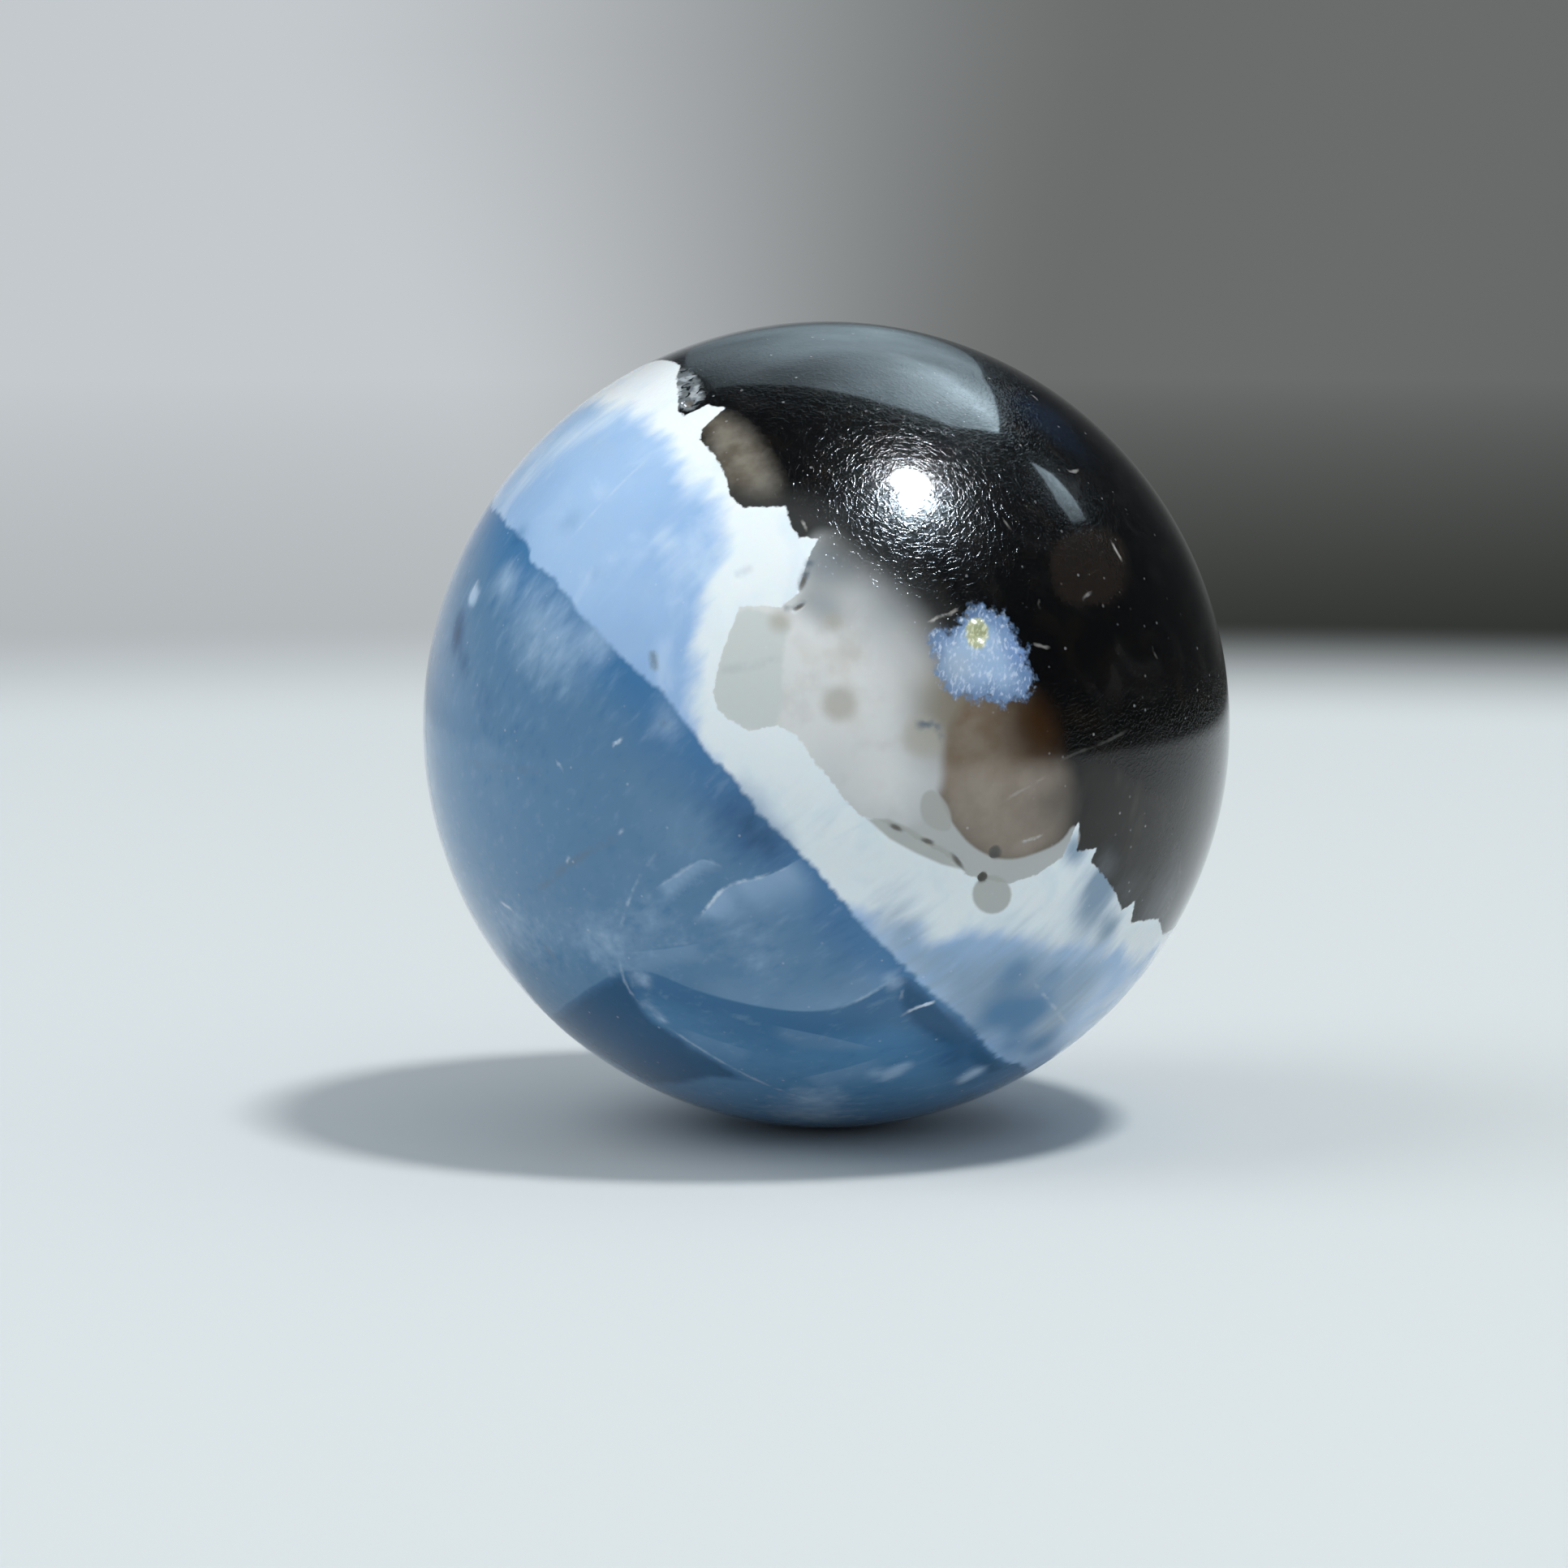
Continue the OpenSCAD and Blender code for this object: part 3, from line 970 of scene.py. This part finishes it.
opal = paint("#4a7fac", "#5c87aa", "blue", 0.1, 2.6, rough=(medium, 1.6))
opal = paint(opal, "#86a7c2", broad, 0.0, 0.35, share=0.4)
streaks = mottle(1.6, 3, (1, 0.2, 0.1), 4)
deep_blue = paint("#386d96", "#5287b0", "deep", 0.8, 2.8, rough=(streaks, 2.4))
opal = paint(opal, deep_blue, "deep", -0.02, 0.12, share=0.9)
opal = paint(opal, "#7fa3c4", comb, 0.04, 0.3, share=0.35)
opal = paint(opal, "#3a6f9c", comb, -0.04, -0.3, share=0.35)
opal = paint(opal, "#055079", "wedge", -0.05, 0.5, rough=(comb, 0.4), share=0.88)
# This field also carries the painted highlight and the painted dark reflection at the left rim, and the
# painted light at the bottom.
opal = paint(opal, "#b5cee6", "cloud", 0.05, 1.0, rough=(comb, 0.45))
opal = paint(opal, "#30648f", "cloud", -0.05, -1.0, rough=(comb, 0.5))
opal = paint(opal, "#10384f", "cloud", -0.6, -1.6, rough=(comb, 0.6))
print("opal painted")

# %% [markdown]
# A page is crisp on one side of its line and fades away on the other, so two ramps of the same
# distance are multiplied. A veil is a thin line on both sides of zero. A healed crack is never
# whole, so a mottle breaks the line up. The cracks and marks further down are drawn the same way.

# %% Pages and veils
broken = shown(mottle(0.7, 3), -0.14, 0.12)


def line_mask(name, width, core, ragged, capped=False):
    """Where thin lines of a kind show: as strong as each is, capped at 1 if asked, and broken up."""
    side = node(tree, "ShaderNodeAttribute", attribute_name=name + "_side").outputs["Fac"]
    gap = node(tree, "ShaderNodeMath", {0: side}, operation="ABSOLUTE").outputs[0]
    amount = node(tree, "ShaderNodeAttribute", attribute_name=name + "_amount").outputs["Fac"]
    drawn = {0: shown(gap, width, core, rough=(fine, ragged)), 1: amount}
    line = node(tree, "ShaderNodeMath", drawn, operation="MULTIPLY", use_clamp=capped).outputs[0]
    return node(tree, "ShaderNodeMath", {0: line, 1: broken}, operation="MULTIPLY").outputs[0]


page_edge = shown("page_side", -0.03, 0.05)
page_fade = shown("page_side", 1.9, 0.0)
page_amount = node(tree, "ShaderNodeAttribute", attribute_name="page_amount").outputs["Fac"]
page = node(tree, "ShaderNodeMath", {0: page_edge, 1: page_fade}, operation="MULTIPLY").outputs[0]
page = node(tree, "ShaderNodeMath", {0: page, 1: page_amount}, operation="MULTIPLY").outputs[0]
opal = paint(opal, "#97b6d3", page)
body = paint(pale, opal, "blue", -0.12, 0.14, rough=(comb, 0.45))
# Veils and the painted glints among them are drawn here in one pale colour.
body = paint(body, "#d3e1ec", line_mask("veil_and_glint", 0.12, 0.0, 0.15, capped=True))
print("veils drawn")

# %% [markdown]
# The dark layer is painted from the depth up: black first, then the smoky and brown stone that
# barely lets light through, then the milky cells that lie in front. The window's crisp outline is
# multiplied by its soft one, so that it ends sharply at the left and melts away at the right.

# %% Dark layer and its cells
murk = paint("#080808", "#15110d", medium, 0.0, 0.25)
murk = paint(murk, "#1e1d1c", mottle(2.2, 5, swirl=1.0), 0.02, 0.25, share=0.7)
murk = paint(murk, "#201b17", "umber_pocket", -0.15, 0.4, rough=(fine, 0.6))
murk = paint(murk, paint("#8b867b", "#665f53", medium, -0.2, 0.2), "tan_pocket", -0.2, 1.1, rough=(fine, 0.3))
smoky = paint("#1b1815", "#282622", broad, -0.2, 0.2)
smoky = paint(smoky, "#45413b", mottle(0.9, 4, (0.3, 0, 1), 3), 0.04, 0.3, share=0.6)
smoky = paint(smoky, "#5c6063", "cloud", 0.0, 1.0, rough=(comb, 0.5))
murk = paint(murk, "#131d2b", "navy", 0.1, 1.0)
murk = paint(murk, "#3c3d3c", "window_soft", -2.2, -0.3)
murk = paint(murk, smoky, "smoke", -0.5, 0.6, rough=(medium, 1.2))
brown = paint(paint("#8a7f71", "#7b6a57", medium, -0.2, 0.2), "#37230f", "amber", 0.1, 0.9)
murk = paint(murk, brown, "brown_high", -0.7, 0.8)
murk = paint(murk, paint("#a69a8d", "#968b7f", medium, -0.2, 0.2), "brown_low", -0.7, 0.6, share=0.7)
murk = paint(murk, "#bdbfbd", "seam", -0.05, 0.1)
pocket = paint("#6c7274", "#a9b0b3", mottle(0.5, 4), 0.0, 0.16)
pocket = paint(pocket, "#1d2123", mottle(0.4, 4, swirl=1.0), -0.03, -0.12)
murk = paint(murk, pocket, "grey_pocket", -0.05, 0.2, rough=(fine, 0.4))
window_mask = node(
    tree, "ShaderNodeMath",
    {0: shown("window", -0.3, 0.3), 1: shown("window_soft", -1.1, 0.8)}, operation="MULTIPLY",
).outputs[0]
milky = paint("#c2c4c4", "#e0e1df", "window_soft", 0.3, 3.0, rough=(medium, 1.0))
milky = paint(milky, "#cbc8c0", mottle(2.4, 3), 0.0, 0.22, share=0.6)
milky = paint(milky, "#b9b8b2", mottle(1.5, 4), 0.0, 0.25, share=0.35)
milky = paint(milky, "#868e92", "dusk", 0.0, 0.9)
milky = paint(milky, "#8f8a7e", "warm", 0.0, 0.9)
murk = paint(murk, milky, window_mask)
murk = paint(murk, "#d2d7d4", "beige", -0.12, 0.12, rough=(fine, 0.2))
# Darker discs of painted shade for the rounded bubbles, and the stone's own brownish half disc.
murk = paint(murk, "#b3b0a5", "dimple", -0.2, 0.35, share=0.7)
murk = paint(murk, "#060505", "shade", 0.0, 1.0)
dark_mask = shown("dark", -0.04, 0.05, rough=(fine, 0.24))
body = paint(body, murk, dark_mask)
body = paint(body, "#b0b1ab", "lens", -0.04, 0.1, share=0.85)
print("dark layer painted")

# %% [markdown]
# The pale blue patch is a nest of tiny crystals that broke through the dark stone. They are too
# small to model one by one, so a fine drawn-out mottle gives their glitter, and the same mottle
# colours the yellowish crystals in the two shallow hollows.

# %% Pale patch with its crystals
needles = mottle(0.12, 2, (0.4, 0, 1), 2.2)
petal = paint("#6d8aaf", "#a3bcd8", "flower", 0.1, 1.0, rough=(medium, 1.2))
petal = paint(petal, "#7d9ccb", "cloud", 0.0, -0.7)
petal = paint(petal, "#aebdcb", "cloud", 0.0, 0.7)
petal = paint(petal, "#d3deea", needles, -0.02, 0.24, share=0.8)
flower_mask = shown("flower", -0.1, 0.25, rough=(fine, 0.9))
body = paint(body, petal, flower_mask)
yellowish = paint("#b3b792", "#e4e5c8", needles, -0.05, 0.15)
body = paint(body, yellowish, "crystal", -0.06, 0.1, rough=(fine, 0.3))
print("patch painted")

# %% [markdown]
# Last come the small things that lie in the surface: pale cracks, grey marks, the open pits, whose
# dull floors are painted grey, as painted shade where the stone round them is pale, and bright specks
# of dust-like inclusions. The specks are the middles of random cells, of which only some are lucky
# enough to show.

# %% Lines, pits and specks
SPECK_SPACING_MM = 0.5

body = paint(body, "#cfccc6", line_mask("crack", 0.09, 0.01, 0.12))
body = paint(body, "#66737f", line_mask("mark", 0.28, 0.01, 0.12))
bare = node(tree, "ShaderNodeMath", {0: 1.0, 1: flower_mask}, operation="SUBTRACT").outputs[0]
# Grey where a pit is deeper than the facets: painted shade on pale stone, and the pit's dull floor.
pit_floor_and_shade_mask = shown("pit", 0.03, 0.1)
pit_mask = node(tree, "ShaderNodeMath", {0: pit_floor_and_shade_mask, 1: bare}, operation="MULTIPLY").outputs[0]
body = paint(body, "#7f7c75", pit_mask)
specks = node(tree, "ShaderNodeTexVoronoi", {"Vector": place, "Scale": 1 / (SPECK_SPACING_MM * MM)})
dot = shown(specks.outputs["Distance"], 0.14, 0.06)
lucky = node(tree, "ShaderNodeSeparateColor", {0: specks.outputs["Color"]}).outputs[0]
lucky = shown(lucky, 0.5, 1.0, share=0.25)
speck = node(tree, "ShaderNodeMath", {0: dot, 1: lucky}, operation="MULTIPLY").outputs[0]
body = paint(body, "#e9ecee", speck)
print("lines and specks drawn")

# %% [markdown]
# Polishing leaves fine scratches in all directions. Each is too thin to see, but round a highlight
# those that lie across the light glitter, and a halo of short strokes appears. The stone's own
# shine is a clean mirror, which keeps the pictures of the cards sharp. The scratched film on it is
# the shader's coat: a softer shine whose normal is bumped by mottles drawn out in many directions.
# Real scratches are a few thousandths of a millimetre wide. These are drawn as coarse as they need
# to be to show.

# %% Gloss and scratches
SCRATCH_WIDTH_MM = 0.11
SCRATCH_HEIGHT_MM = 0.003
SCRATCH_COUNT = 7
SCRATCH_RATIO = 6
HIGHLIGHT_PX = (1118, 608)

lit_spot = Vector(ball_points([HIGHLIGHT_PX])[0])
sideways = lit_spot.cross(Vector((0, 0, 1))).normalized()
upways = sideways.cross(lit_spot)
scratches = 0.0
for i in range(SCRATCH_COUNT):
    turn = math.pi * i / SCRATCH_COUNT
    along = sideways * math.cos(turn) + upways * math.sin(turn) + lit_spot * 0.15 * math.sin(5 * i)
    streak = shown(mottle(SCRATCH_WIDTH_MM, 1, along, SCRATCH_RATIO), 0.06, 0.2)
    scratches = node(tree, "ShaderNodeMath", {0: scratches, 1: streak}, operation="ADD").outputs[0]
relief = {"Strength": 1.0, "Distance": SCRATCH_HEIGHT_MM * MM, "Height": scratches}
bump = node(tree, "ShaderNodeBump", relief)
rough = node(tree, "ShaderNodeMath", {0: flower_mask, 1: 0.3, 2: 0.06}, operation="MULTIPLY_ADD").outputs[0]
rough = node(tree, "ShaderNodeMath", {0: pit_mask, 1: 0.4, 2: rough}, operation="MULTIPLY_ADD").outputs[0]
tree.links.new(body, shader.inputs["Base Color"])
tree.links.new(rough, shader.inputs["Roughness"])
tree.links.new(bump.outputs[0], shader.inputs["Coat Normal"])
shader.inputs["Coat Weight"].default_value = 0.5
shader.inputs["Coat Roughness"].default_value = 0.16
shader.inputs["Coat IOR"].default_value = 1.45
shader.inputs["IOR"].default_value = 1.45
shader.inputs["Specular IOR Level"].default_value = 0.28
shader.inputs["Subsurface Weight"].default_value = 0.7
shader.inputs["Subsurface Radius"].default_value = (0.8, 1.0, 1.2)
shader.inputs["Subsurface Scale"].default_value = 2.0 * MM
skin.data.materials.append(stone)
print("stone nodes:", len(tree.nodes))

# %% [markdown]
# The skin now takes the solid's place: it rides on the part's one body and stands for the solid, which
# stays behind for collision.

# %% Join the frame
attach(skin, "root")
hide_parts("opal_sphere")
print("skin stands for:", solid.name)
